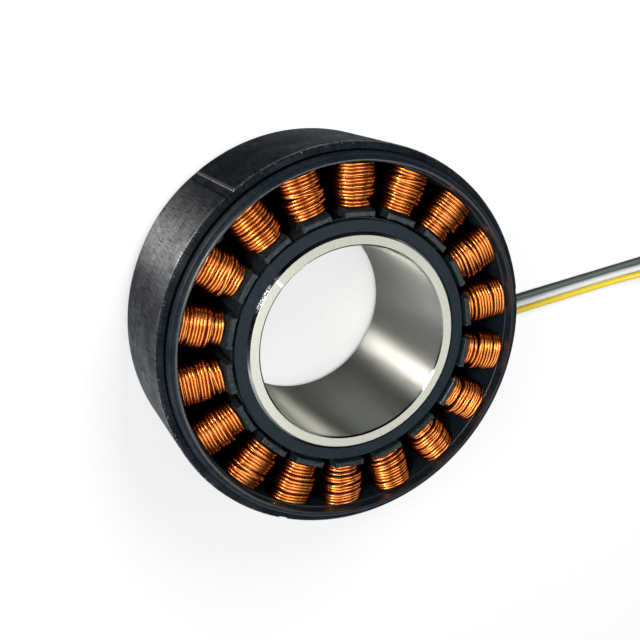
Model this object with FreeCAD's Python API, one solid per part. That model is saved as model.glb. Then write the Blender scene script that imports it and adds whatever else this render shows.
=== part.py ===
"""Frameless motor: a wound stator in a thin ring, a magnet rotor with a bored hub, and three leads.

Millimetres. The motor axis is +Z. The origin is on the axis, on the surface that the motor stands on,
and the wound face that shows is up. A tooth, a ring groove and the side of the leads are at +X.
"""
import FreeCAD, Part

import math
import os

os.makedirs("parts", exist_ok=True)
V = FreeCAD.Vector
UP = V(0, 0, 1)
CENTRE = V(0, 0, 0)

# Clearances, and how far a cutting shape stands past what it cuts
bond_gap = 0.05
slip_gap = 0.10
hub_floor_gap = 1.15
floor_gap = 0.02
margin = 1.0

# Rotor
hub_bore = 35.0
hub_wall = 2.35
hub_face_chamfer = 0.55
hub_bore_chamfer = 0.30
magnet_count = 20
magnet_thickness = 1.80
magnet_overhang = 0.80
magnet_spacing = 0.40
sleeve_thickness = 0.30
end_ring_thickness = 1.70
end_ring_drop = 0.40
end_ring_setback = 0.10
end_ring_chamfer = 0.10
air_gap = 0.45

# Stator ring and lamination stack
stator_diameter = 70.0
ring_wall = 1.30
ring_front_cover = 1.20
ring_rear_cover = 0.90
ring_front_chamfer = 0.50
ring_rear_chamfer = 0.15
groove_count = 3
groove_width = 1.8
groove_depth = 0.35
stack_length = 19.4
slot_count = 18
yoke_width = 1.55
tooth_width = 3.2
slot_opening = 2.2
shoe_edge = 0.70
shoe_taper = 0.45

# Insulators
liner_thickness = 0.40
cap_thickness = 0.80
shelf_thickness = 1.50
skirt_spacing = 0.40
rim_width = 1.70
rim_height = 2.45
rim_wall_height = 0.85
rim_slope_width = 1.35
rim_step = 0.12
flange_thickness = 1.25
flange_width = 5.5
flange_rise = 3.10
flange_recess = 0.65
flange_ear = 0.70
flange_bevel = 0.35

# Coils
wire_diameter = 0.57
inner_layers = 2
outer_layers = 3
outer_share = 0.62
corner_cut = 0.80

# Connection board and its pegs
rear_room = 4.7
board_thickness = 1.0
board_width = 8.9
board_setback = 0.05
peg_count = 3
peg_diameter = 1.6
boss_width = 2.6
peg_head_diameter = 3.0
peg_head_height = 0.6
joint_diameter = 1.3
joint_height = 0.45
joint_inset = 1.95
joint_angle = 6.0

# Leads
lead_diameter = 1.5
lead_pitch = 1.55
lead_side = -13.9
lead_start = 27.6
lead_sides_count = 8
core_diameter = 1.1
solder_length = 1.2
wound_diameter = 18.0
wound_turns = 3.2
wound_centre_x = 103.5
wound_side = -11.2
wound_entry = 6.0
tie_width = 2.4
tie_thickness = 0.6
tie_head = 3.0
tie_head_height = 1.6

# Radii, from the bore outwards
hub_bore_radius = hub_bore / 2
hub_radius = hub_bore_radius + hub_wall
magnet_inner = hub_radius + bond_gap
magnet_outer = magnet_inner + magnet_thickness
sleeve_inner = magnet_outer + bond_gap
sleeve_outer = sleeve_inner + sleeve_thickness
end_ring_outer = sleeve_outer - end_ring_setback
tooth_bore = sleeve_outer + air_gap
ring_radius = stator_diameter / 2
ring_inner = ring_radius - ring_wall
core_radius = ring_inner - bond_gap
yoke_inner = core_radius - yoke_width
liner_inner = yoke_inner - liner_thickness
rim_outer = ring_inner - slip_gap
rim_inner = rim_outer - rim_width
board_outer = rim_outer - board_setback
board_inner = board_outer - board_width

# Heights, from the surface up
board_bottom = peg_head_height
board_top = board_bottom + board_thickness
stack_bottom = board_top + rear_room
stack_top = stack_bottom + stack_length
skirt_depth = (stack_length - skirt_spacing) / 2
ring_bottom = stack_bottom - ring_rear_cover
ring_top = stack_top + ring_front_cover
magnet_bottom = stack_bottom - magnet_overhang
magnet_top = stack_top + magnet_overhang
rear_end_face = magnet_bottom - bond_gap
front_end_face = magnet_top + bond_gap
hub_bottom = hub_floor_gap
hub_top = front_end_face + end_ring_thickness + end_ring_drop
rim_wall_top = ring_top + rim_wall_height
rim_top = ring_top + rim_height


def save(shape, name):
    """One node: checked, then written to its own file."""
    if not shape.isValid():
        raise ValueError(name + " is not a valid shape")
    shape.exportStep("parts/" + name + ".step")


def lathe(points):
    """A closed outline of (radius, height) points, turned about the motor axis."""
    corners = [V(radius, 0, height) for radius, height in points]
    outline = Part.makePolygon(corners + corners[:1])
    return Part.Face(outline).revolve(CENTRE, UP, 360)


def tube(inner, outer, bottom, top):
    """A plain ring."""
    return lathe([(inner, bottom), (outer, bottom), (outer, top), (inner, top)])


def block(x0, x1, y0, y1, z0, z1):
    """A box between two corners."""
    return Part.makeBox(x1 - x0, y1 - y0, z1 - z0, V(x0, y0, z0))


def rod(x, y, radius, bottom, top):
    """An upright cylinder."""
    return Part.makeCylinder(radius, top - bottom, V(x, y, bottom), UP)


def turned(shape, degrees):
    """A copy of the shape, turned about the motor axis."""
    copy = shape.copy()
    copy.rotate(CENTRE, UP, degrees)
    return copy


def around(shape, count, first=0.0):
    """Copies of the shape, evenly spaced about the motor axis."""
    return [turned(shape, first + 360.0 * k / count) for k in range(count)]


def polar(radius, degrees):
    """The point at a radius and an angle."""
    return radius * math.cos(math.radians(degrees)), radius * math.sin(math.radians(degrees))


def stator_ring():
    """The thin ring that the stack is bonded in, with shallow grooves along its outside."""
    a = ring_rear_chamfer
    b = ring_front_chamfer
    body = lathe([
        (ring_inner, ring_bottom),
        (ring_radius - a, ring_bottom),
        (ring_radius, ring_bottom + a),
        (ring_radius, ring_top - b),
        (ring_radius - b, ring_top),
        (ring_inner, ring_top),
    ])
    half = groove_width / 2
    groove = block(ring_radius - groove_depth, ring_radius + margin, -half, half,
                   ring_bottom - margin, ring_top + margin)
    return body.cut(Part.makeCompound(around(groove, groove_count)))


def shoe_corner(side):
    """Where a tooth's shoe ends: the corner on the bore and the one behind it."""
    half = tooth_bore * math.sin(math.pi / slot_count) - slot_opening / 2
    depth = math.sqrt(tooth_bore ** 2 - half ** 2)
    return (depth, side * half), (depth + shoe_edge, side * half)


def tooth_root(half):
    """How far out a tooth's side at this half width meets the yoke."""
    return math.sqrt(yoke_inner ** 2 - half ** 2)


def shoe_back():
    """How far out the shoe runs into the tooth."""
    return shoe_corner(1)[1][0] + shoe_taper


def slot_outline():
    """One slot, between the tooth at +X and the next: open to the bore, round at the yoke."""
    half = tooth_width / 2
    front, behind = shoe_corner(1)
    side = [(front[0] - margin, front[1]), behind, (shoe_back(), half), (tooth_root(half), half)]
    pitch = 360.0 / slot_count
    turn = FreeCAD.Rotation(UP, pitch)
    near = [V(x, y, 0) for x, y in side]
    far = [turn.multVec(V(x, -y, 0)) for x, y in side]
    middle = V(*polar(yoke_inner, pitch / 2), 0)
    edges = [Part.LineSegment(a, b).toShape() for a, b in zip(near, near[1:])]
    edges.append(Part.Arc(near[-1], middle, far[-1]).toShape())
    back = far[::-1] + near[:1]
    edges += [Part.LineSegment(a, b).toShape() for a, b in zip(back, back[1:])]
    return Part.Face(Part.Wire(edges))


def stator_core():
    """The lamination stack: a yoke with teeth that point inwards and widen into shoes."""
    slot = slot_outline().extrude(V(0, 0, stack_length + 2 * margin))
    slot.translate(V(0, 0, stack_bottom - margin))
    body = tube(tooth_bore, core_radius, stack_bottom, stack_top)
    return body.cut(Part.makeCompound(around(slot, slot_count)))


def flange(face, sign):
    """The wall at the inner end of a tooth that keeps the coil on it, with a small ear at each end."""
    half = flange_width / 2
    inner = tooth_bore + bond_gap
    outer = inner + flange_thickness
    low = face
    high = face + sign * flange_rise
    shoulder = high - sign * flange_bevel
    corners = [
        V(0, -half, low),
        V(0, half, low),
        V(0, half, shoulder),
        V(0, half - flange_bevel, high),
        V(0, flange_bevel - half, high),
        V(0, -half, shoulder),
    ]
    plate = Part.Face(Part.makePolygon(corners + corners[:1])).extrude(V(outer, 0, 0))
    bore = rod(0, 0, inner, min(low, high) - margin, max(low, high) + margin)
    ear = half - flange_ear
    step = low + sign * cap_thickness
    past = high + sign * margin
    hollow = block(0, inner + flange_recess, -ear, ear, min(step, past), max(step, past))
    return plate.cut(bore).cut(hollow)


def tooth_saddle(face, sign):
    """The moulding on one tooth's end: a cap over it, a skirt down each side, and the flange."""
    low = face - sign * skirt_depth
    high = face + sign * cap_thickness
    wide = tooth_width / 2 + liner_thickness
    start = tooth_bore + bond_gap + flange_thickness / 2
    cap = block(start, yoke_inner, -wide, wide, min(face, high), max(face, high))
    back = shoe_back() + bond_gap
    end = math.sqrt(yoke_inner ** 2 - wide ** 2) - bond_gap
    skirt = block(back, end, -wide, wide, min(low, face), max(low, face))
    room = tooth_width / 2 + bond_gap
    past = low - sign * margin
    tooth = block(0, ring_radius, -room, room, min(past, face), max(past, face))
    return cap.fuse([skirt.cut(tooth), flange(face, sign)])


def yoke_liner(face, sign):
    """The thin wall that lines the yoke between the teeth, and the shelf over the yoke."""
    low = face - sign * skirt_depth
    high = face + sign * shelf_thickness
    wall = tube(liner_inner, yoke_inner - bond_gap, min(low, face), max(low, face))
    room = tooth_width / 2 + bond_gap
    tooth = block(0, ring_radius, -room, room, min(low, face) - margin, max(low, face) + margin)
    wall = wall.cut(Part.makeCompound(around(tooth, slot_count)))
    shelf = tube(liner_inner, rim_outer, min(face, high), max(face, high))
    return [wall, shelf]


def front_insulator():
    """The moulding on the front: shelf, liner, tooth saddles, and a rim that stands proud of the ring."""
    middle = (rim_wall_top + rim_top) / 2
    halfway = rim_outer - rim_slope_width / 2
    rim = lathe([
        (rim_inner, stack_top),
        (rim_outer, stack_top),
        (rim_outer, rim_wall_top),
        (halfway + rim_step, middle),
        (halfway, middle),
        (rim_outer - rim_slope_width, rim_top),
        (rim_inner, rim_top),
    ])
    pieces = around(tooth_saddle(stack_top, 1), slot_count) + yoke_liner(stack_top, 1)
    return rim.fuse(pieces).removeSplitter()


def peg_angles():
    """The pegs' places round the axis: between teeth, evenly spaced."""
    return [180.0 / slot_count + 360.0 * k / peg_count for k in range(peg_count)]


def peg_points():
    """Where the pegs stand, each under the middle of its boss."""
    radius = rim_inner - boss_width / 2
    return [polar(radius, angle) for angle in peg_angles()]


def lead_sides():
    """The places across the leads, from the black one to the yellow one."""
    return [lead_side + lead_pitch, lead_side, lead_side - lead_pitch]


def lead_height():
    """The height of the leads where they lie on the board."""
    return board_top + bond_gap + lead_diameter / 2


def rear_insulator():
    """The moulding on the rear: its rim seats the board, and its pegs go through it and are the feet."""
    rim = tube(rim_inner, rim_outer, board_top, stack_bottom)
    pieces = around(tooth_saddle(stack_bottom, -1), slot_count) + yoke_liner(stack_bottom, -1)
    wide = boss_width / 2
    boss = block(rim_inner - boss_width, rim_inner + rim_width / 2, -wide, wide, board_top, stack_bottom)
    pieces += [turned(boss, angle) for angle in peg_angles()]
    for x, y in peg_points():
        pieces.append(rod(x, y, peg_diameter / 2, 0, board_top))
        pieces.append(rod(x, y, peg_head_diameter / 2, 0, peg_head_height))
    body = rim.fuse(pieces)
    half = lead_diameter / 2 + bond_gap
    channels = []
    for y in lead_sides():
        bore = Part.makeCylinder(half, ring_radius, V(liner_inner / 2, y, lead_height()), V(1, 0, 0))
        mouth = block(liner_inner / 2, liner_inner / 2 + ring_radius, y - half, y + half,
                      board_top - margin, lead_height())
        channels.append(bore.fuse(mouth))
    return body.cut(Part.makeCompound(channels)).removeSplitter()


def skin(loops):
    """A solid with flat faces between loops of as many corners each, closed at both ends."""
    def flat(corners):
        return Part.Face(Part.makePolygon(corners + corners[:1]))

    faces = [flat(loops[0]), flat(loops[-1])]
    for near, far in zip(loops, loops[1:]):
        for k in range(len(near)):
            faces.append(flat([near[k - 1], near[k], far[k], far[k - 1]]))
    return Part.Solid(Part.Shell(faces))


def coil():
    """The coil on the tooth at +X: turns side by side, with one more layer over the outer ones."""
    start = tooth_bore + bond_gap + flange_thickness + bond_gap
    widest = tooth_width / 2 + liner_thickness + outer_layers * wire_diameter
    end = math.sqrt(liner_inner ** 2 - widest ** 2) - bond_gap
    turns = int((end - start) / wire_diameter)
    pitch = (end - start) / turns
    layer = wire_diameter * math.sqrt(3) / 2
    side = tooth_width / 2 + liner_thickness + bond_gap
    top = stack_top + cap_thickness + bond_gap
    bottom = stack_bottom - cap_thickness - bond_gap
    ridge = wire_diameter / 2

    def loop(x, build):
        """One turn's outline, this much outside the insulated tooth. Its corners in front are rounder."""
        w = side + build
        cut = build * corner_cut
        low = bottom - build
        high = top + build
        points = [(w, low), (w, high - cut), (w - cut, high), (cut - w, high), (-w, high - cut), (-w, low)]
        return [V(x, y, z) for y, z in points]

    loops = []
    first_outer = turns - round(turns * outer_share)
    for k in range(turns):
        layers = inner_layers if k < first_outer else outer_layers
        build = wire_diameter + (layers - 1) * layer
        loops.append(loop(start + pitch * k, build - ridge))
        loops.append(loop(start + pitch * (k + 0.5), build))
    loops.append(loop(end, build - ridge))
    tooth = block(start - margin, end + margin, -side, side, bottom, top)
    return skin(loops).cut(tooth)


def connection_board():
    """The circuit board ring behind the windings, with a hole for each peg."""
    body = tube(board_inner, board_outer, board_bottom, board_top)
    radius = peg_diameter / 2 + bond_gap
    holes = [rod(x, y, radius, board_bottom - margin, board_top + margin) for x, y in peg_points()]
    return body.cut(Part.makeCompound(holes))


def joint(x, y, low, high, wide, narrow):
    """One soldered joint: a low six-sided cone between two heights."""
    def ring_of(radius, height):
        corners = [polar(radius, 60.0 * k) for k in range(6)]
        return [V(x + a, y + b, height) for a, b in corners]

    return skin([ring_of(narrow / 2, low), ring_of(wide / 2, high)])


def solder_joints():
    """The joints on the board's rear: two for each coil and one for each lead."""
    radius = board_inner + joint_inset
    places = []
    for k in range(slot_count):
        tooth = 360.0 * k / slot_count
        places.append(polar(radius, tooth - joint_angle))
        places.append(polar(radius, tooth + joint_angle))
    places += [(lead_start - solder_length / 2, y) for y in lead_sides()]
    low = board_bottom - joint_height
    pieces = [joint(x, y, low, board_bottom, joint_diameter, joint_diameter / 2) for x, y in places]
    half = core_diameter / 2
    start = lead_start - solder_length
    for y in lead_sides():
        pieces.append(block(start, lead_start, y - half, y + half, board_top, lead_height() + half))
    return Part.makeCompound(pieces)


def rotor_hub():
    """The steel hub: a bored ring, chamfered at both ends of the bore and outside its front face."""
    a = hub_bore_chamfer
    b = hub_face_chamfer
    return lathe([
        (hub_bore_radius + a, hub_bottom),
        (hub_radius, hub_bottom),
        (hub_radius, hub_top - b),
        (hub_radius - b, hub_top),
        (hub_bore_radius + a, hub_top),
        (hub_bore_radius, hub_top - a),
        (hub_bore_radius, hub_bottom + a),
    ])


def magnet():
    """One magnet at +X: a segment of a ring, with a straight gap to its neighbours."""
    def half_angle(radius):
        return 180.0 / magnet_count - math.degrees(math.asin(magnet_spacing / 2 / radius))

    a = half_angle(magnet_inner)
    b = half_angle(magnet_outer)
    inner = [V(*polar(magnet_inner, t), magnet_bottom) for t in (-a, 0, a)]
    outer = [V(*polar(magnet_outer, t), magnet_bottom) for t in (b, 0, -b)]
    edges = [
        Part.Arc(*inner).toShape(),
        Part.LineSegment(inner[2], outer[0]).toShape(),
        Part.Arc(*outer).toShape(),
        Part.LineSegment(outer[2], inner[0]).toShape(),
    ]
    return Part.Face(Part.Wire(edges)).extrude(V(0, 0, magnet_top - magnet_bottom))


def end_ring(face, sign):
    """The black ring that closes one end of the magnets. Its outer edge is broken."""
    inner = hub_radius + bond_gap
    far = face + sign * end_ring_thickness
    return lathe([
        (inner, face),
        (end_ring_outer, face),
        (end_ring_outer, far - sign * end_ring_chamfer),
        (end_ring_outer - end_ring_chamfer, far),
        (inner, far),
    ])


def rounded_path(points):
    """Straight runs joined by arcs, each as large as its two runs allow. Prints the radii."""
    edges = []
    radii = []
    last = points[0]
    for before, corner, after in zip(points, points[1:], points[2:]):
        back = before - corner
        ahead = after - corner
        half_turn = (math.pi - back.getAngle(ahead)) / 2
        reach = 0.45 * min(back.Length, ahead.Length)
        radius = reach / math.tan(half_turn)
        back.normalize()
        ahead.normalize()
        enter = corner + back * reach
        leave = corner + ahead * reach
        inward = back + ahead
        inward.normalize()
        middle = corner + inward * (radius / math.cos(half_turn) - radius)
        edges.append(Part.LineSegment(last, enter).toShape())
        edges.append(Part.Arc(enter, middle, leave).toShape())
        radii.append(round(radius, 1))
        last = leave
    edges.append(Part.LineSegment(last, points[-1]).toShape())
    print("bend radii", radii)
    return Part.Wire(edges)


def lead_tube(points, name):
    """The part of a lead that isn't wound up. Its volume is compared with section times length."""
    path = rounded_path([V(*p) for p in points])
    x, y, z = points[0]
    corners = []
    for k in range(lead_sides_count):
        across, up = polar(lead_diameter / 2, 360.0 * (k + 0.5) / lead_sides_count)
        corners.append(V(x, y + across, z + up))
    section = Part.makePolygon(corners + corners[:1])
    body = path.makePipeShell([section], True, False)
    share = body.Volume / (Part.Face(section).Area * path.Length)
    print(name, "length", round(path.Length, 1), "volume share", round(share, 4))
    return body


def wound_radii():
    """The first and last radius of the wound leads, at the middle of the wire."""
    spread = wound_turns * lead_pitch
    return wound_diameter / 2 + spread / 2, wound_diameter / 2 - spread / 2


def wound_y():
    """The wound leads' middle across, so that the leads run straight into their outermost turn."""
    return wound_side + wound_radii()[0]


def layer_height(layer):
    """The height of one lead's own layer of turns."""
    return tie_thickness + lead_diameter / 2 + lead_pitch * layer


def lead_routes():
    """The leads from the board to where they start to be wound up, as points chosen by hand."""
    out = lead_height()
    floor = lead_diameter / 2 + floor_gap
    entry = wound_centre_x - wound_entry
    black, grey, yellow = lead_sides()
    return {
        "lead_black": [
            (lead_start, black, out),
            (36.0, black, out),
            (45.5, black, floor),
            (62.0, -12.1, floor),
            (80.0, -11.85, floor),
            (90.0, -11.7, 0.82),
            (entry, wound_side, layer_height(0)),
        ],
        "lead_grey": [
            (lead_start, grey, out),
            (36.2, grey, out),
            (45.5, grey, floor),
            (62.0, -13.65, floor),
            (80.0, -13.4, floor),
            (90.0, -13.1, 2.05),
            (entry, wound_side, layer_height(1)),
        ],
        "lead_yellow": [
            (lead_start, yellow, out),
            (36.4, yellow, out),
            (45.5, yellow, floor),
            (62.0, -15.2, floor),
            (80.0, -14.95, floor),
            (90.0, -14.4, 3.3),
            (entry, wound_side, layer_height(2)),
        ],
    }


def lead_coil():
    """The outer shape of the wound leads: a low ring, with the place where the three run in."""
    first, last = wound_radii()
    outer = first + lead_diameter / 2 + bond_gap
    inner = last - lead_diameter / 2 - bond_gap
    top = layer_height(2) + lead_diameter / 2 + bond_gap
    ring = tube(inner, outer, tie_thickness, top)
    half = lead_diameter / 2 + bond_gap
    entry = block(-wound_entry, 0, -first - half, -first + half, tie_thickness, top)
    body = ring.fuse(entry).removeSplitter()
    body.translate(V(wound_centre_x, wound_y(), 0))
    return body


def lead_tie():
    """The tie round the wound leads: a flat band with a head on top."""
    first, last = wound_radii()
    half = tie_width / 2
    outer = first + lead_diameter / 2 + 2 * bond_gap
    inner_wall = last - lead_diameter / 2 - bond_gap
    inner = math.sqrt(inner_wall ** 2 - half ** 2) - bond_gap
    top = layer_height(2) + lead_diameter / 2 + bond_gap
    band = block(inner - tie_thickness, outer + tie_thickness, -half, half, 0, top + tie_thickness)
    band = band.cut(block(inner, outer, -half - margin, half + margin, tie_thickness, top))
    middle = (inner + outer) / 2
    side = tie_head / 2
    head = block(middle - side, middle + side, -side, side, top, top + tie_head_height)
    body = band.fuse(head).removeSplitter()
    body.translate(V(wound_centre_x, wound_y(), 0))
    return body


save(stator_ring(), "stator_ring")
save(stator_core(), "stator_core")
save(front_insulator(), "front_insulator")
save(rear_insulator(), "rear_insulator")
for k, winding in enumerate(around(coil(), slot_count), start=1):
    save(winding, "coil_%02d" % k)
save(connection_board(), "connection_board")
save(solder_joints(), "solder_joints")

save(rotor_hub(), "rotor_hub")
for k, segment in enumerate(around(magnet(), magnet_count), start=1):
    save(segment, "magnet_%02d" % k)
save(end_ring(front_end_face, 1), "front_end_ring")
save(end_ring(rear_end_face, -1), "rear_end_ring")
save(tube(sleeve_inner, sleeve_outer, magnet_bottom, magnet_top), "rotor_sleeve")

for name, route in lead_routes().items():
    save(lead_tube(route, name), name)
save(lead_coil(), "lead_coil")
save(lead_tie(), "lead_tie")
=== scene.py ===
"""A frameless motor on a pale floor: a wound stator, a magnet rotor and three leads. Metres, +Z up."""
import math
import random

import bpy
from mathutils import Matrix, Vector


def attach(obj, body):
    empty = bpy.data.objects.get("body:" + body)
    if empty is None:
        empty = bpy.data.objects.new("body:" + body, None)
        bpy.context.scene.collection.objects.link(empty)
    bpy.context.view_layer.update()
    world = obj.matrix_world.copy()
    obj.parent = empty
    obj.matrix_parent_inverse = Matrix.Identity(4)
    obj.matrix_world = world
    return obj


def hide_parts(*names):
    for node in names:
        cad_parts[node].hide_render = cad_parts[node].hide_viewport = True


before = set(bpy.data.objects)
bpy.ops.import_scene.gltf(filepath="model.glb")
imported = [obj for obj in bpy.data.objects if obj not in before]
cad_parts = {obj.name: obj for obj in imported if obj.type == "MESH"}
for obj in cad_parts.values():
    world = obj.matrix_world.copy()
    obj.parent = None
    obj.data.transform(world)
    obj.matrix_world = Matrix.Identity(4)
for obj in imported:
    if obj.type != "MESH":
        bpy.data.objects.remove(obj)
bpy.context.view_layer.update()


# The camera looks down on the wound face from the side of -X and +Y, with a roll that stands the ring
# up. It has a normal lens, from a little under a fifth of a metre.
MM = 0.001
camera_data = bpy.data.cameras.new("camera")
camera_data.sensor_width = 36
camera_data.lens = 53.13
camera_data.clip_start = 5 * MM
camera = bpy.data.objects.new("camera", camera_data)
bpy.context.scene.collection.objects.link(camera)
camera_right = Vector((0.91132, -0.12978, 0.39069)).normalized()
camera_back = Vector((-0.32693, 0.34865, 0.87839)).normalized()
camera_up = camera_back.cross(camera_right).normalized()
turn = Matrix((camera_right, camera_up, camera_back)).transposed().to_4x4()
camera.matrix_world = Matrix.Translation(Vector((-58.58, 62.30, 170.28)) * MM) @ turn
bpy.context.scene.camera = camera


# The leads: three silicone-insulated wires, black, grey and yellow, soldered to the board behind the
# windings. They leave through channels in the rear insulator and lie on the floor, and the rest of
# their length is wound into one small coil, a layer for each lead.
lead_diameter = 1.5 * MM
coil_centre = Vector((103.5, 0.28)) * MM
coil_radii = (11.48 * MM, 6.52 * MM)
coil_turns = 3.2
points_per_turn = 16
lead_routes = {
    "lead_black": [
        (27.6, -12.35, 2.40), (36.0, -12.35, 2.40), (45.5, -12.35, 0.77), (62.0, -12.1, 0.77),
        (80.0, -11.85, 0.77), (90.0, -11.7, 0.82), (97.5, -11.2, 1.35),
    ],
    "lead_grey": [
        (27.6, -13.9, 2.40), (36.2, -13.9, 2.40), (45.5, -13.9, 0.77), (62.0, -13.65, 0.77),
        (80.0, -13.4, 0.77), (90.0, -13.1, 2.05), (97.5, -11.2, 2.90),
    ],
    "lead_yellow": [
        (27.6, -15.45, 2.40), (36.4, -15.45, 2.40), (45.5, -15.45, 0.77), (62.0, -15.2, 0.77),
        (80.0, -14.95, 0.77), (90.0, -14.4, 3.30), (97.5, -11.2, 4.45),
    ],
}
lead_colours = {
    "lead_black": (0.055, 0.075, 0.070),
    "lead_grey": (0.50, 0.505, 0.505),
    "lead_yellow": (0.57, 0.43, 0.020),
}


def finish(name, colour, roughness, metallic=0.0):
    """A new material with one shader. Its plain values also stand for it where nodes aren't read."""
    material = bpy.data.materials.new(name)
    material.use_nodes = True
    shader = material.node_tree.nodes["Principled BSDF"]
    shader.inputs["Base Color"].default_value = (*colour, 1)
    shader.inputs["Roughness"].default_value = roughness
    shader.inputs["Metallic"].default_value = metallic
    return material, material.node_tree, shader


def node(tree, kind, **properties):
    """A node of a material, with these properties."""
    made = tree.nodes.new(kind)
    for key, value in properties.items():
        setattr(made, key, value)
    return made


def grain(tree, size, detail, where=None, stretch=(1, 1, 1)):
    """Noise with cells of about this size, in metres, on the piece's own coordinates."""
    if where is None:
        where = node(tree, "ShaderNodeTexCoord").outputs["Object"]
    spread = node(tree, "ShaderNodeMapping")
    spread.inputs["Scale"].default_value = stretch
    noise = node(tree, "ShaderNodeTexNoise")
    noise.inputs["Scale"].default_value = 1 / size
    noise.inputs["Detail"].default_value = detail
    tree.links.new(where, spread.inputs["Vector"])
    tree.links.new(spread.outputs["Vector"], noise.inputs["Vector"])
    return noise.outputs["Fac"]


def ramp(tree, source, low, high, first=0.0, last=1.0):
    """A value between two limits, turned into a value between first and last."""
    made = node(tree, "ShaderNodeMapRange")
    made.inputs["From Min"].default_value = low
    made.inputs["From Max"].default_value = high
    made.inputs["To Min"].default_value = first
    made.inputs["To Max"].default_value = last
    tree.links.new(source, made.inputs["Value"])
    return made.outputs["Result"]


def bump(tree, shader, source, height, strength):
    """Relief on the shader's normal, of this height in metres."""
    made = node(tree, "ShaderNodeBump")
    made.inputs["Distance"].default_value = height
    made.inputs["Strength"].default_value = strength
    tree.links.new(source, made.inputs["Height"])
    tree.links.new(made.outputs["Normal"], shader.inputs["Normal"])


for lead_name, route in lead_routes.items():
    line = [Vector(point) * MM for point in route]
    height = line[-1].z
    steps = int(coil_turns * points_per_turn)
    for step in range(steps + 1):
        share = step / steps
        angle = 2 * math.pi * (coil_turns * share - 0.25)
        radius = coil_radii[0] + (coil_radii[1] - coil_radii[0]) * share
        x = coil_centre.x + radius * math.cos(angle)
        y = coil_centre.y + radius * math.sin(angle)
        line.append(Vector((x, y, height)))
    curve = bpy.data.curves.new(lead_name + "_wire", "CURVE")
    curve.dimensions = "3D"
    curve.bevel_depth = lead_diameter / 2
    curve.bevel_resolution = 5
    curve.resolution_u = 6
    curve.use_fill_caps = True
    spline = curve.splines.new("NURBS")
    spline.points.add(len(line) - 1)
    for place, point in zip(spline.points, line):
        place.co = (*point, 1)
    spline.order_u = 3
    spline.use_endpoint_u = True
    lead = bpy.data.objects.new(lead_name + "_wire", curve)
    bpy.context.scene.collection.objects.link(lead)

    material, tree, shader = finish(lead_name, lead_colours[lead_name], 0.34)
    dust = grain(tree, 2.5 * MM, 4)
    tree.links.new(ramp(tree, dust, 0.35, 0.7, 0.30, 0.46), shader.inputs["Roughness"])
    bump(tree, shader, grain(tree, 0.25 * MM, 2), 0.01 * MM, 0.5)
    curve.materials.append(material)
    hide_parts(lead_name, "lead_coil")
    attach(lead, "stator")


# The tie: a black nylon band with its square locking head, pulled tight round the wound leads.
# It is moulded in one piece, and its loose end is cut off at the head.
def dress(name, material):
    """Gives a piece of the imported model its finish."""
    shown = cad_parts[name]
    shown.data.materials.clear()
    shown.data.materials.append(material)
    return shown


tie_finish, tree, shader = finish("tie_nylon", (0.018, 0.018, 0.019), 0.42)
bump(tree, shader, grain(tree, 0.12 * MM, 2), 0.01 * MM, 0.6)
dress("lead_tie", tie_finish)


# The floor is a plain pale sheet. The camera sees it as white, with a soft shadow, and dark close
# under the motor. It throws only a little light back, so that the dark parts stay dark.
floor_reach = 3.0
floor_drop = 0.02 * MM
under_reach = 12 * MM
floor_glow = 1.42
floor_mesh = bpy.data.meshes.new("floor")
round_floor = ((-1, -1), (1, -1), (1, 1), (-1, 1))
floor_corners = [(x * floor_reach, y * floor_reach, 0) for x, y in round_floor]
floor_mesh.from_pydata(floor_corners, [], [(0, 1, 2, 3)])
floor = bpy.data.objects.new("floor", floor_mesh)
floor.location.z = -floor_drop
bpy.context.scene.collection.objects.link(floor)


def tint(tree, share, first, last):
    """A colour between first and last. Each is a plain colour or comes from another node."""
    made = node(tree, "ShaderNodeMix", data_type="RGBA")
    for socket, colour in (("A", first), ("B", last)):
        if isinstance(colour, tuple):
            made.inputs[socket].default_value = (*colour, 1)
        else:
            tree.links.new(colour, made.inputs[socket])
    tree.links.new(share, made.inputs["Factor"])
    return made.outputs["Result"]


floor_finish, tree, shader = finish("floor", (0.95, 0.95, 0.95), 1.0)
shader.inputs["Specular IOR Level"].default_value = 0.0
rays = node(tree, "ShaderNodeLightPath")
seen = rays.outputs["Is Camera Ray"]
floor_colour = tint(tree, seen, (0.016, 0.021, 0.027), (0.35, 0.35, 0.35))
tree.links.new(floor_colour, shader.inputs["Base Color"])
near = node(tree, "ShaderNodeAmbientOcclusion", samples=12)
near.inputs["Distance"].default_value = under_reach
white = node(tree, "ShaderNodeEmission")
tree.links.new(ramp(tree, near.outputs["AO"], 0.22, 0.42, 0.0, floor_glow), white.inputs["Strength"])
half_white = node(tree, "ShaderNodeMixShader")
tree.links.new(ramp(tree, seen, 0, 1, 0.0, 0.50), half_white.inputs["Fac"])
tree.links.new(shader.outputs["BSDF"], half_white.inputs[1])
tree.links.new(white.outputs["Emission"], half_white.inputs[2])
tree.links.new(half_white.outputs["Shader"], tree.nodes["Material Output"].inputs["Surface"])
floor_mesh.materials.append(floor_finish)


# The studio: a dim even surround that the camera sees as white, soft lamps at the upper left for the
# bright side, wide ones overhead and a large one from the lower left. A lamp whose reflection or
# shadow would fall in the wrong place is shaded off that piece.
bpy.context.scene.view_settings.view_transform = "Standard"
world = bpy.data.worlds.new("studio")
world.use_nodes = True
bpy.context.scene.world = world
tree = world.node_tree
surround = tree.nodes["Background"]
rays = node(tree, "ShaderNodeLightPath")
sky = tint(tree, rays.outputs["Is Camera Ray"], (0.60, 0.84, 1.0), (1.0, 1.0, 1.0))
tree.links.new(sky, surround.inputs["Color"])
dim = ramp(tree, rays.outputs["Is Glossy Ray"], 0, 1, 0.026, 0.034)
strength = node(tree, "ShaderNodeMath", operation="MAXIMUM")
tree.links.new(rays.outputs["Is Camera Ray"], strength.inputs[0])
tree.links.new(dim, strength.inputs[1])
tree.links.new(strength.outputs["Value"], surround.inputs["Strength"])


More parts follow.
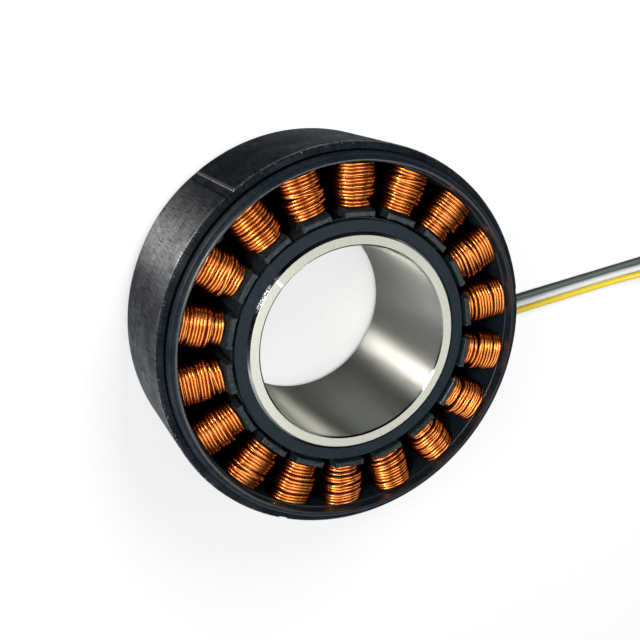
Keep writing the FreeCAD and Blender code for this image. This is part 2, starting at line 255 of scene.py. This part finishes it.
def lamp(name, azimuth, elevation, distance, size, power, colour=(1, 1, 1), only=(), skip=()):
    """A soft square lamp that faces the motor. Its direction is in degrees, its distance and size in
    metres and its power in watts. It may light only some pieces, or be shaded off others."""
    data = bpy.data.lights.new(name, "AREA")
    data.color = colour
    data.size = size
    data.energy = power
    made = bpy.data.objects.new(name, data)
    level = distance * math.cos(math.radians(elevation))
    made.location = (
        level * math.cos(math.radians(azimuth)),
        level * math.sin(math.radians(azimuth)),
        distance * math.sin(math.radians(elevation)),
    )
    made.rotation_euler = made.location.to_track_quat("Z", "Y").to_euler()
    made.visible_camera = False
    bpy.context.scene.collection.objects.link(made)
    if only or skip:
        pieces = bpy.data.collections.new(name + "_pieces")
        for lit in only or skip:
            pieces.objects.link(lit)
        for entry in pieces.collection_objects:
            entry.light_linking.link_state = "INCLUDE" if only else "EXCLUDE"
        made.light_linking.receiver_collection = pieces


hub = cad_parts["rotor_hub"]
warm = (1.0, 0.975, 0.945)
cool = (0.96, 0.98, 1.0)
lamp("key_lamp", 128, 28, 0.42, 0.06, 0.05)
lamp("soft_key_lamp", 146, 44, 0.45, 0.12, 1.80, warm)
lamp("over_lamp", 25, 68, 0.50, 0.22, 0.98, skip=(hub,))
lamp("top_lamp", 215, 70, 0.50, 0.26, 0.55)
lamp("low_lamp", 345, 66, 0.50, 0.20, 0.25, skip=(hub, floor))
lamp("front_lamp", 142, 66, 0.50, 0.24, 0.25, skip=(floor,))
lamp("left_lamp", 228, 42, 0.50, 0.55, 2.50, cool, skip=(floor,))
lamp("right_lamp", 12, 25, 0.45, 0.25, 0.36)
lamp("hub_lamp", 145, 38, 0.45, 0.10, 0.78, warm, only=(hub,))
lamp("floor_lamp", 70, 43, 0.60, 0.26, 4.70, only=(floor,))


# The lamination stack: thin electrical-steel sheets, punched with eighteen teeth, bonded with black
# varnish and pressed into the ring. Fine lines on the teeth's inner ends show every third sheet.
sheet_line = 1.1 * MM
stack_finish, tree, shader = finish("lamination", (0.012, 0.012, 0.013), 0.42, 0.5)
where = node(tree, "ShaderNodeTexCoord").outputs["Object"]
sheets = node(tree, "ShaderNodeTexWave", wave_type="BANDS", bands_direction="Z")
sheets.inputs["Scale"].default_value = math.pi / 10 / sheet_line
tree.links.new(where, sheets.inputs["Vector"])
bump(tree, shader, sheets.outputs["Fac"], 0.02 * MM, 0.8)
dress("stator_core", stack_finish)


# The insulators: two mouldings in black glass-filled nylon, pushed on the stack from the front and
# the rear. Each has a rim, a shelf over the yoke, a lining in the slots, and on every tooth a cap,
# two skirts and a flange that keeps the coil from sliding off.
def turned_places(tree):
    """Places on a turned part: the angle in radians, the radius, the height, and as wall the way
    round it at a radius of 35 mm with the height."""
    split = node(tree, "ShaderNodeSeparateXYZ")
    tree.links.new(node(tree, "ShaderNodeTexCoord").outputs["Object"], split.inputs["Vector"])
    angle = node(tree, "ShaderNodeMath", operation="ARCTAN2")
    tree.links.new(split.outputs["Y"], angle.inputs[0])
    tree.links.new(split.outputs["X"], angle.inputs[1])
    around = node(tree, "ShaderNodeMath", operation="MULTIPLY")
    around.inputs[1].default_value = 35 * MM
    tree.links.new(angle.outputs["Value"], around.inputs[0])
    joined = node(tree, "ShaderNodeCombineXYZ")
    tree.links.new(around.outputs["Value"], joined.inputs["X"])
    tree.links.new(split.outputs["Z"], joined.inputs["Y"])
    flat = node(tree, "ShaderNodeCombineXYZ")
    tree.links.new(split.outputs["X"], flat.inputs["X"])
    tree.links.new(split.outputs["Y"], flat.inputs["Y"])
    radius = node(tree, "ShaderNodeVectorMath", operation="LENGTH")
    tree.links.new(flat.outputs["Vector"], radius.inputs[0])
    return {
        "angle": angle.outputs["Value"],
        "radius": radius.outputs["Value"],
        "height": split.outputs["Z"],
        "wall": joined.outputs["Vector"],
    }


def times(tree, first, second):
    """Two values, multiplied."""
    made = node(tree, "ShaderNodeMath", operation="MULTIPLY")
    tree.links.new(first, made.inputs[0])
    tree.links.new(second, made.inputs[1])
    return made.outputs["Value"]


rim_side_radii = (24.2 * MM, 24.6 * MM)
shaded_step_radii = (33.48 * MM, 33.54 * MM)
flange_gloss_radii = (23.42 * MM, 23.50 * MM)
nylon, tree, shader = finish("insulator_plastic", (0.016, 0.023, 0.031), 0.45)
rubbed_nylon = ramp(tree, grain(tree, 3 * MM, 4), 0.3, 0.7, 0.30, 0.44)
tree.links.new(rubbed_nylon, shader.inputs["Roughness"])
speckle = ramp(tree, grain(tree, 0.5 * MM, 5), 0.35, 0.75)
# Past the flanges, on the caps, skirts, slot linings and rim, the nylon is painted darker than on the
# flanges: painted shade.
shaded_moulding_colour = tint(tree, speckle, (0.002, 0.005, 0.008), (0.011, 0.016, 0.022))
flange_colour = tint(tree, speckle, (0.004, 0.008, 0.010), (0.024, 0.032, 0.036))
at = turned_places(tree)
past_flange = ramp(tree, at["radius"], *rim_side_radii)
plastic_colour = tint(tree, past_flange, flange_colour, shaded_moulding_colour)
# The rim's outer wall, past 33.48 mm, is painted near black without shine: painted shade at the step
# beside the ring.
on_shaded_step = ramp(tree, at["radius"], *shaded_step_radii)
nylon_colour = tint(tree, on_shaded_step, plastic_colour, (0.002, 0.002, 0.003))
tree.links.new(nylon_colour, shader.inputs["Base Color"])
flange_gloss = ramp(tree, at["radius"], *flange_gloss_radii, 0.24, 0.05)
gloss = node(tree, "ShaderNodeMath", operation="MAXIMUM")
tree.links.new(flange_gloss, gloss.inputs[0])
tree.links.new(ramp(tree, past_flange, 0, 1, 0.0, 0.50), gloss.inputs[1])
plastic_gloss = times(tree, ramp(tree, on_shaded_step, 0, 1, 1.0, 0.0), gloss.outputs["Value"])
tree.links.new(plastic_gloss, shader.inputs["Specular IOR Level"])
bump(tree, shader, grain(tree, 0.16 * MM, 3), 0.012 * MM, 0.5)


def piece(name, corners, faces, material, body, sharp=35):
    """A mesh piece, smooth but for its edges, that rides on a body."""
    mesh = bpy.data.meshes.new(name)
    mesh.from_pydata(corners, [], faces)
    mesh.update()
    mesh.shade_smooth()
    mesh.set_sharp_from_angle(angle=math.radians(sharp))
    mesh.materials.append(material)
    made = bpy.data.objects.new(name, mesh)
    bpy.context.scene.collection.objects.link(made)
    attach(made, body)
    return made


def add(corners, faces, more_corners, more_faces):
    """Puts one more closed form into a piece."""
    first = len(corners)
    corners += more_corners
    faces += [tuple(first + index for index in face) for face in more_faces]


def turned_form(outline, first, last, steps):
    """A closed outline of (radius, height) points, turned from one angle to another, in degrees."""
    whole = abs(last - first - 360) < 1e-6
    rings = steps if whole else steps + 1
    corners = []
    faces = []
    for ring in range(rings):
        angle = math.radians(first + (last - first) * ring / steps)
        corners += [(r * math.cos(angle), r * math.sin(angle), z) for r, z in outline]
    count = len(outline)
    for ring in range(steps):
        near = ring * count
        far = (ring + 1) % rings * count
        for k in range(count):
            after = (k + 1) % count
            faces.append((near + k, far + k, far + after, near + after))
    if not whole:
        faces.append(tuple(range(count)))
        faces.append(tuple(reversed(range((rings - 1) * count, rings * count))))
    return corners, faces


def drawn_form(outline, bottom, top, upper=None, bevel=0.0):
    """A closed outline of (x, y) points, drawn up to a second one, its top edge broken by a bevel."""
    count = len(outline)
    upper = upper or outline
    middle_x = sum(x for x, y in upper) / count
    middle_y = sum(y for x, y in upper) / count
    inner = [
        (x - math.copysign(bevel, x - middle_x), y - math.copysign(bevel, y - middle_y))
        for x, y in upper
    ]
    levels = [(outline, bottom), (upper, top - bevel)] + ([(inner, top)] if bevel else [])
    corners = [(x, y, z) for level, z in levels for x, y in level]
    faces = [tuple(reversed(range(count)))]
    for level in range(len(levels) - 1):
        for k in range(count):
            after = (k + 1) % count
            low = level * count
            high = low + count
            faces.append((low + k, low + after, high + after, high + k))
    faces.append(tuple(range(len(corners) - count, len(corners))))
    return corners, faces


def spun(corners, degrees):
    """The same corners, turned about the motor's axis."""
    a = math.cos(math.radians(degrees))
    b = math.sin(math.radians(degrees))
    return [(x * a - y * b, x * b + y * a, z) for x, y, z in corners]


# These sizes are in millimetres.
slots = 18
stack_top = 25.7
cap_top = 26.5
flange_top = 28.8
flange_half = 2.75
flange_bevel = 0.14
flange_foot = (22.50, 22.66, 23.80)
flange_head = (22.34, 22.50, 23.42)
ear_width = 0.45
ear_foot = 0.6
shoe_half = 2.70
shoe_ends = (22.62, 23.80)
former_half = 2.0
former_ends = (23.80, 31.80)
skirt_wall = 0.35
skirt_ends = (23.85, 31.55)
skirt_bottom = 16.2
liner_inner = 31.70
liner_outer = 32.05
liner_angles = (3.1, 16.9)
liner_steps = 10
rim_steps = 288
rim_outline = [
    (31.70, stack_top), (33.60, stack_top), (33.60, 27.66), (33.56, 27.79), (33.48, 27.90),
    (33.10, 28.42), (33.04, 28.47), (32.97, 28.45), (32.92, 28.55), (32.50, 29.06), (32.38, 29.19),
    (32.24, 29.29), (32.08, 29.34), (31.98, 29.32), (31.92, 29.24), (31.90, 29.10), (31.90, 27.24),
    (31.86, 27.20), (31.70, 27.20),
]
corners, faces = turned_form([(r * MM, z * MM) for r, z in rim_outline], 0, 360, rim_steps)


def plate(x_near, x_far, y_near, y_far, bottom, top):
    """A flat plate on the tooth that lies on +X."""
    around = [(x_near, y_near), (x_far, y_near), (x_far, y_far), (x_near, y_far)]
    return drawn_form([(x * MM, y * MM) for x, y in around], bottom * MM, top * MM)


def flange_edge(inner, recess, outer):
    """The outline of a flange: its inner side is set back a little between two ears."""
    half = flange_half
    points = [
        (outer, -half), (outer, half), (inner, half), (inner, half - ear_width),
        (recess, half - ear_foot), (recess, ear_foot - half), (inner, ear_width - half), (inner, -half),
    ]
    return [(x * MM, y * MM) for x, y in points]


shoe_cap = plate(*shoe_ends, -shoe_half, shoe_half, stack_top, cap_top)
tooth_cap = plate(*former_ends, -former_half, former_half, stack_top, cap_top)
left_skirt = plate(*skirt_ends, former_half - skirt_wall, former_half, skirt_bottom, stack_top)
right_skirt = plate(*skirt_ends, -former_half, skirt_wall - former_half, skirt_bottom, stack_top)
flange = drawn_form(flange_edge(*flange_foot), cap_top * MM, flange_top * MM,
                    flange_edge(*flange_head), flange_bevel * MM)
liner_outline = [
    (liner_inner, skirt_bottom), (liner_outer, skirt_bottom),
    (liner_outer, stack_top), (liner_inner, stack_top),
]
liner = turned_form([(r * MM, z * MM) for r, z in liner_outline], *liner_angles, liner_steps)
for tooth in range(slots):
    for form, form_faces in (liner, shoe_cap, tooth_cap, left_skirt, right_skirt, flange):
        add(corners, faces, spun(form, 360 / slots * tooth), form_faces)
front_insulator = piece("front_moulding", corners, faces, nylon, "stator")
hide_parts("front_insulator")
dress("rear_insulator", nylon)


# The coils: enamelled copper wire, wound turn beside turn on each insulated tooth, with one more
# layer over the outer turns. The turns lie in small bunches, slant a little and stick out unevenly.
wire = 0.59 * MM
turn_count = 12
coil_start = 23.86 * MM
coil_end = 31.50 * MM
coil_top = 26.55 * MM
coil_bottom = 5.45 * MM
former_side = 2.05 * MM
layer_step = 0.50 * MM
turn_step = 0.92
bunch_step = 1.3
slot_shade_heights = (8.4 * MM, 10.8 * MM)
arch_range = (2.1 * MM, 2.7 * MM)
side_range = (-0.10 * MM, 0.28 * MM)
uneven_slant = 0.10 * MM
uneven_arch = 0.06 * MM
uneven_side = 0.05 * MM
uneven_bow = 0.03 * MM
uneven_top = 0.02 * MM
uneven_lean = 0.02 * MM
droop_step = 0.07 * MM
stray_lean = 0.42 * MM
stray_side = 0.12 * MM
stray_rise = 0.10 * MM
under_arch = 0.3 * MM


def apart(tree, value, centre):
    """How far a value is from this one."""
    away = node(tree, "ShaderNodeMath", operation="SUBTRACT")
    away.inputs[1].default_value = centre
    tree.links.new(value, away.inputs[0])
    size = node(tree, "ShaderNodeMath", operation="ABSOLUTE")
    tree.links.new(away.outputs["Value"], size.inputs[0])
    return size.outputs["Value"]


copper, tree, shader = finish("copper_wire", (0.85, 0.31, 0.075), 0.28, 1.0)
shader.inputs["Coat Weight"].default_value = 0.40
shader.inputs["Coat Roughness"].default_value = 0.09
shade = ramp(tree, grain(tree, 1.2 * MM, 3), 0.3, 0.75)
outer_colour = tint(tree, shade, (0.49, 0.128, 0.014), (0.61, 0.212, 0.036))
split = node(tree, "ShaderNodeSeparateXYZ")
tree.links.new(node(tree, "ShaderNodeTexCoord").outputs["Object"], split.inputs["Vector"])
# Deep in the slots the turns are painted darker, down to a near-black red: painted shade.
from_middle = apart(tree, split.outputs["Z"], (coil_top + coil_bottom) / 2)
clear_of_slot_shade = ramp(tree, from_middle, *slot_shade_heights)
wire_colour = tint(tree, clear_of_slot_shade, (0.10, 0.018, 0.003), outer_colour)
tree.links.new(wire_colour, shader.inputs["Base Color"])
enamel = ramp(tree, grain(tree, 0.5 * MM, 3), 0.3, 0.7, 0.25, 0.31)
tree.links.new(enamel, shader.inputs["Roughness"])


def wire_form(line, radius, sides):
    """A closed round wire along a line of points."""
    corners = []
    faces = []
    across = None
    for index, point in enumerate(line):
        ahead = (line[min(index + 1, len(line) - 1)] - line[max(index - 1, 0)]).normalized()
        if across is None:
            across = ahead.orthogonal().normalized()
        across = (across - ahead * across.dot(ahead)).normalized()
        beside = ahead.cross(across)
        for side in range(sides):
            angle = 2 * math.pi * side / sides
            spot = point + (across * math.cos(angle) + beside * math.sin(angle)) * radius
            corners.append(tuple(spot))
    for index in range(len(line) - 1):
        for side in range(sides):
            after = (side + 1) % sides
            low = index * sides
            high = low + sides
            faces.append((low + side, low + after, high + after, high + side))
    faces.append(tuple(reversed(range(sides))))
    faces.append(tuple(range(len(corners) - sides, len(corners))))
    return corners, faces


def half_turn(half, top, bottom, arch):
    """One side of a turn, from the middle of the rear to the middle of the front, as (y, z) points.
    The front, which is in sight, has more points and is a little fuller than a round arch."""
    points = []
    for degrees in (90, 75, 60, 45, 30, 15):
        angle = math.radians(degrees)
        points.append((half * math.cos(angle) ** 0.8, bottom + arch * (1 - math.sin(angle))))
    points.append((half, (top + bottom) / 2))
    for step in range(11):
        angle = math.radians(8.2 * step)
        points.append((half * math.cos(angle) ** 0.9, top - arch * (1 - math.sin(angle) ** 0.9)))
    points.append((0.0, top))
    return points


def winding_line(draw, turns):
    """The line of one layer's wire through its turns, each a little uneven."""
    line = []
    for k, (place, halves, top, arch, slant) in enumerate(turns):
        after = turns[k + 1][0] if k + 1 < len(turns) else place
        low = coil_bottom - (top - coil_top)
        bow = draw.gauss(0, uneven_bow)
        up = half_turn(halves[0], top, low, arch)
        down = [(-y, z) for y, z in reversed(half_turn(halves[1], top, low, arch))]
        for index, (y, z) in enumerate(up[:-1] + down):
            way = y / halves[0]
            x = place + slant * way + bow * (1 - way * way)
            behind = (top - z) / (top - low)
            if index >= len(up):
                x += (after - place) * max(0.0, behind * 2 - 1) * (1 - abs(way))
            line.append(Vector((x, y, z)))
    return line


for tooth in range(slots):
    draw = random.Random(100 + tooth)
    bunches = []
    while sum(bunches) < turn_count:
        bunches.append(min(turn_count - sum(bunches), draw.choice((2, 3, 4, 5))))
    steps = [step for count in bunches for step in [bunch_step] + [turn_step] * (count - 1)]
    pitch = (coil_end - coil_start - wire) / sum(steps[1:])
    place = coil_start + wire / 2
    wide_from = draw.choice((2, 2, 3, 4))
    strayed = draw.randrange(2, turn_count - 2)
    arch = draw.uniform(*arch_range)
    turns = []
    for count in bunches:
        slant = draw.gauss(0, uneven_slant)
        spread = [draw.uniform(*side_range) for side in range(2)]
        first_out = draw.random() < 0.7
        for index in range(count):
            k = len(turns)
            layers = 3 if k >= wide_from else 2
            rise = (layers - 1) * layer_step + wire / 2
            share = (count - 1 - index if first_out else index) / max(1, count - 1)
            halves = [former_side + rise + side * share + draw.gauss(0, uneven_side) for side in spread]
            droop = droop_step * max(0, k - turn_count + 4)
            top = coil_top + rise - droop + draw.gauss(0, uneven_top)
            lean = slant + draw.gauss(0, uneven_lean)
            if k == strayed and tooth % 2:
                lean += draw.choice((-stray_lean, stray_lean))
                top += stray_rise
                halves = [half + stray_side for half in halves]
            turns.append((place, halves, top, arch + draw.gauss(0, uneven_arch), lean))
            if k + 1 < turn_count:
                place += steps[k + 1] * pitch
    under = []
    for (place, halves, top, arch, lean), after in zip(turns, turns[1:]):
        halves = [half - layer_step for half in halves]
        under.append(((place + after[0]) / 2, halves, top - layer_step, arch - under_arch, lean))
    corners, faces = wire_form(winding_line(draw, turns), wire / 2, 10)
    add(corners, faces, *wire_form(winding_line(draw, under), wire / 2, 6))
    winding = piece("winding_%02d" % (tooth + 1), spun(corners, 360 / slots * tooth), faces,
                    copper, "stator", 80)
    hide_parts("coil_%02d" % (tooth + 1))


# The connection board: a green circuit board ring behind the windings that joins the coils to the
# three leads. The rear insulator's pegs go through it and are melted flat over it.
board_finish, tree, shader = finish("board_laminate", (0.010, 0.085, 0.030), 0.32)
shader.inputs["Coat Weight"].default_value = 0.2
shade = ramp(tree, grain(tree, 4 * MM, 3), 0.4, 0.62)
green = tint(tree, shade, (0.010, 0.082, 0.029), (0.013, 0.100, 0.036))
tree.links.new(green, shader.inputs["Base Color"])
bump(tree, shader, grain(tree, 0.4 * MM, 2), 0.01 * MM, 0.4)
dress("connection_board", board_finish)


# The soldered joints: bright tin cones on the board where the coils' ends come through, and the
# tinned ends of the leads on its other side.
solder_finish, tree, shader = finish("solder", (0.80, 0.80, 0.79), 0.22, 1.0)
frosting = ramp(tree, grain(tree, 0.5 * MM, 3), 0.3, 0.7, 0.14, 0.38)
tree.links.new(frosting, shader.inputs["Roughness"])
bump(tree, shader, grain(tree, 0.3 * MM, 2), 0.03 * MM, 0.6)
dress("solder_joints", solder_finish)


# The stator ring: a thin steel ring, turned and blackened, with the stack pressed into it. It has
# three shallow grooves along its outside. The black is thin in patches and chipped at the front edge.
# At one groove, two pale lines along its edge are painted highlight and a dark line in it is painted
# shade.
ring_finish, tree, shader = finish("ring_steel", (0.022, 0.022, 0.024), 0.30)
shader.inputs["Specular IOR Level"].default_value = 0.08


def along_axis(tree, shader):
    """Stretches a turned part's shine along its axis, across the turning marks."""
    shader.inputs["Anisotropic"].default_value = 1.0
    shader.inputs["Anisotropic Rotation"].default_value = 0.25
    tangent = node(tree, "ShaderNodeTangent", direction_type="RADIAL", axis="Z")
    tree.links.new(tangent.outputs["Tangent"], shader.inputs["Tangent"])


def between(tree, value, low, high):
    """One between two edges, and nothing outside them. An edge is a pair of values to fade over."""
    return times(tree, ramp(tree, value, *low), ramp(tree, value, *high, 1.0, 0.0))


def stripe(tree, angle, place, reach):
    """One near this place round the part, and nothing farther from it than this reach, in degrees."""
    away = apart(tree, angle, math.radians(place))
    return ramp(tree, away, math.radians(reach) / 2, math.radians(reach), 1.0, 0.0)


# The heights over which one finish fades into the next, and the places round the ring in degrees.
front_face = (26.45 * MM, 26.60 * MM)
edge_foot = (26.40 * MM, 26.50 * MM)
edge_head = (26.85 * MM, 26.90 * MM)
groove_side = 121.15
painted_groove_highlights = (118.05, 118.50)
at = turned_places(tree)
lines_up = grain(tree, 0.20 * MM, 4, at["wall"], (1, 0.05, 1))
lines_round = grain(tree, 0.20 * MM, 4, at["wall"], (0.05, 1, 1))
either = node(tree, "ShaderNodeMath", operation="ADD")
tree.links.new(lines_up, either.inputs[0])
tree.links.new(lines_round, either.inputs[1])
weave = ramp(tree, either.outputs["Value"], 0.78, 1.22)
on_side = ramp(tree, at["height"], *front_face, 1.0, 0.0)
patches = ramp(tree, grain(tree, 6 * MM, 4, at["wall"]), 0.35, 0.70)
worn = tint(tree, patches, (0.15, 0.15, 0.15), (0.27, 0.265, 0.26))
side_colour = tint(tree, weave, (0.022, 0.030, 0.040), worn)
# A dark line in the groove: painted shade.
groove_shade = stripe(tree, at["angle"], groove_side, 0.30)
side_colour = tint(tree, groove_shade, side_colour, (0.003, 0.003, 0.004))
# Two pale lines along the groove's edge: painted highlight, where the edge would catch the light.
for place in painted_groove_highlights:
    groove_highlight = stripe(tree, at["angle"], place, 0.14)
    side_colour = tint(tree, groove_highlight, side_colour, (0.75, 0.72, 0.72))
front_colour = tint(tree, weave, (0.0005, 0.001, 0.002), (0.009, 0.012, 0.016))
black_colour = tint(tree, on_side, front_colour, side_colour)
at_edge = between(tree, at["height"], edge_foot, edge_head)
specks = times(tree, at_edge, ramp(tree, grain(tree, 0.24 * MM, 4), 0.63, 0.69))
chips = times(tree, specks, ramp(tree, grain(tree, 2.5 * MM, 3), 0.42, 0.60))
tree.links.new(tint(tree, chips, black_colour, (0.40, 0.40, 0.39)), shader.inputs["Base Color"])
tree.links.new(on_side, shader.inputs["Metallic"])
tree.links.new(ramp(tree, on_side, 0, 1, 0.5, 0.44), shader.inputs["Roughness"])
along_axis(tree, shader)
dress("stator_ring", ring_finish)


# The rotor hub: a steel ring, turned, with a ground front face, polished chamfers and a honed bore.
# The magnets are bonded round it.
honed_roughness = 0.29
ground_roughness = 0.55
polished_roughness = 0.20
# The heights and radii over which one finish fades into the next, and places round it in degrees.
bore_head = (28.06 * MM, 28.12 * MM)
chamfer_foot = (28.08 * MM, 28.12 * MM)
ground_foot = (28.32 * MM, 28.36 * MM)
bore_edge_foot = (28.34 * MM, 28.36 * MM)
face_foot = (28.60 * MM, 28.64 * MM)
outer_edge_radii = (19.0 * MM, 19.1 * MM)
bore_edge_radii = (18.6 * MM, 18.5 * MM)
painted_glint_place = 130.5
painted_reflection_place = 142


def turning_marks(tree, shader, height, amount):
    """Tips the surface up and down at random, as fine marks round a turned part do."""
    marks = node(tree, "ShaderNodeTexWhiteNoise", noise_dimensions="1D")
    tree.links.new(height, marks.inputs["W"])
    tilt = node(tree, "ShaderNodeCombineXYZ")
    either_way = ramp(tree, marks.outputs["Value"], 0, 1, -1.0, 1.0)
    tree.links.new(times(tree, amount, either_way), tilt.inputs["Z"])
    tilted = node(tree, "ShaderNodeVectorMath", operation="ADD")
    tree.links.new(node(tree, "ShaderNodeNewGeometry").outputs["Normal"], tilted.inputs[0])
    tree.links.new(tilt.outputs["Vector"], tilted.inputs[1])
    level = node(tree, "ShaderNodeVectorMath", operation="NORMALIZE")
    tree.links.new(tilted.outputs["Vector"], level.inputs[0])
    tree.links.new(level.outputs["Vector"], shader.inputs["Normal"])


hub_finish, tree, shader = finish("hub_steel", (0.84, 0.84, 0.74), 0.30, 1.0)
at = turned_places(tree)
on_face = ramp(tree, at["height"], *face_foot)
in_bore = ramp(tree, at["height"], *bore_head, 1.0, 0.0)
outer_side = ramp(tree, at["radius"], *outer_edge_radii)
at_outer_edge = times(tree, between(tree, at["height"], chamfer_foot, face_foot), outer_side)
bore_side = ramp(tree, at["radius"], *bore_edge_radii)
at_bore_edge = times(tree, between(tree, at["height"], bore_edge_foot, face_foot), bore_side)
polished = node(tree, "ShaderNodeMath", operation="ADD", use_clamp=True)
tree.links.new(at_outer_edge, polished.inputs[0])
tree.links.new(at_bore_edge, polished.inputs[1])
matte = ramp(tree, at["height"], *ground_foot, honed_roughness, ground_roughness)
bright = node(tree, "ShaderNodeMix")
tree.links.new(polished.outputs["Value"], bright.inputs["Factor"])
tree.links.new(matte, bright.inputs["A"])
bright.inputs["B"].default_value = polished_roughness
tree.links.new(bright.outputs["Result"], shader.inputs["Roughness"])
tree.links.new(ramp(tree, on_face, 0, 1, 1.0, 0.40), shader.inputs["Metallic"])
ground_grain = ramp(tree, grain(tree, 0.35 * MM, 4), 0.38, 0.62)
face_colour = tint(tree, ground_grain, (0.46, 0.465, 0.40), (0.52, 0.525, 0.455))
steel = tint(tree, on_face, (0.70, 0.70, 0.645), face_colour)
# The chamfers are coloured dark grey, which dims their shine: painted shade. On the outer one near 142
# degrees, dark and grey flecks are a painted reflection.
flecks = ramp(tree, grain(tree, 0.30 * MM, 4), 0.44, 0.60)
flecked_reflection = tint(tree, flecks, (0.010, 0.010, 0.012), (0.13, 0.125, 0.13))
painted_reflection_stretch = stripe(tree, at["angle"], painted_reflection_place, 40)
dimmed_edge_colour = tint(tree, painted_reflection_stretch, (0.26, 0.25, 0.26), flecked_reflection)
steel = tint(tree, at_outer_edge, steel, dimmed_edge_colour)
steel = tint(tree, at_bore_edge, steel, (0.13, 0.13, 0.12))
# A thin light streak across the face at 130.5 degrees: painted highlight.
painted_glint = times(tree, stripe(tree, at["angle"], painted_glint_place, 1.2), on_face)
tree.links.new(tint(tree, painted_glint, steel, (0.72, 0.72, 0.69)), shader.inputs["Base Color"])
along_axis(tree, shader)
tree.links.new(ramp(tree, on_face, 0, 1, 1.0, 0.45), shader.inputs["Anisotropic"])
turning_marks(tree, shader, at["height"], ramp(tree, in_bore, 0, 1, 0.0, 0.6))
dress("rotor_hub", hub_finish)


# The magnets: twenty arc-shaped blocks of sintered magnet with a grey epoxy coat. They are bonded
# round the hub, with their poles turned in and out by turns.
magnet_finish, tree, shader = finish("magnet_coating", (0.055, 0.058, 0.062), 0.38, 0.2)
bump(tree, shader, grain(tree, 0.3 * MM, 2), 0.01 * MM, 0.5)
for number in range(1, 21):
    dress("magnet_%02d" % number, magnet_finish)


# The end rings: two black plastic rings, turned, that close the magnets at the front and the rear.
# They are bonded to the hub.
end_finish, tree, shader = finish("end_ring_black", (0.018, 0.026, 0.031), 0.5)
shader.inputs["Specular IOR Level"].default_value = 0.12
shade = ramp(tree, grain(tree, 0.4 * MM, 4), 0.3, 0.75)
black = tint(tree, shade, (0.004, 0.008, 0.011), (0.010, 0.016, 0.020))
tree.links.new(black, shader.inputs["Base Color"])
bump(tree, shader, grain(tree, 0.2 * MM, 3), 0.01 * MM, 0.4)
for end in ("front_end_ring", "rear_end_ring"):
    dress(end, end_finish)


# The sleeve: a thin band of black fibre in resin, wound round the magnets and baked, that holds them
# on at speed.
sleeve_finish, tree, shader = finish("sleeve_wrap", (0.015, 0.016, 0.018), 0.35)
at = turned_places(tree)
bump(tree, shader, grain(tree, 0.2 * MM, 3, at["wall"], (0.06, 1, 1)), 0.015 * MM, 0.7)
dress("rotor_sleeve", sleeve_finish)
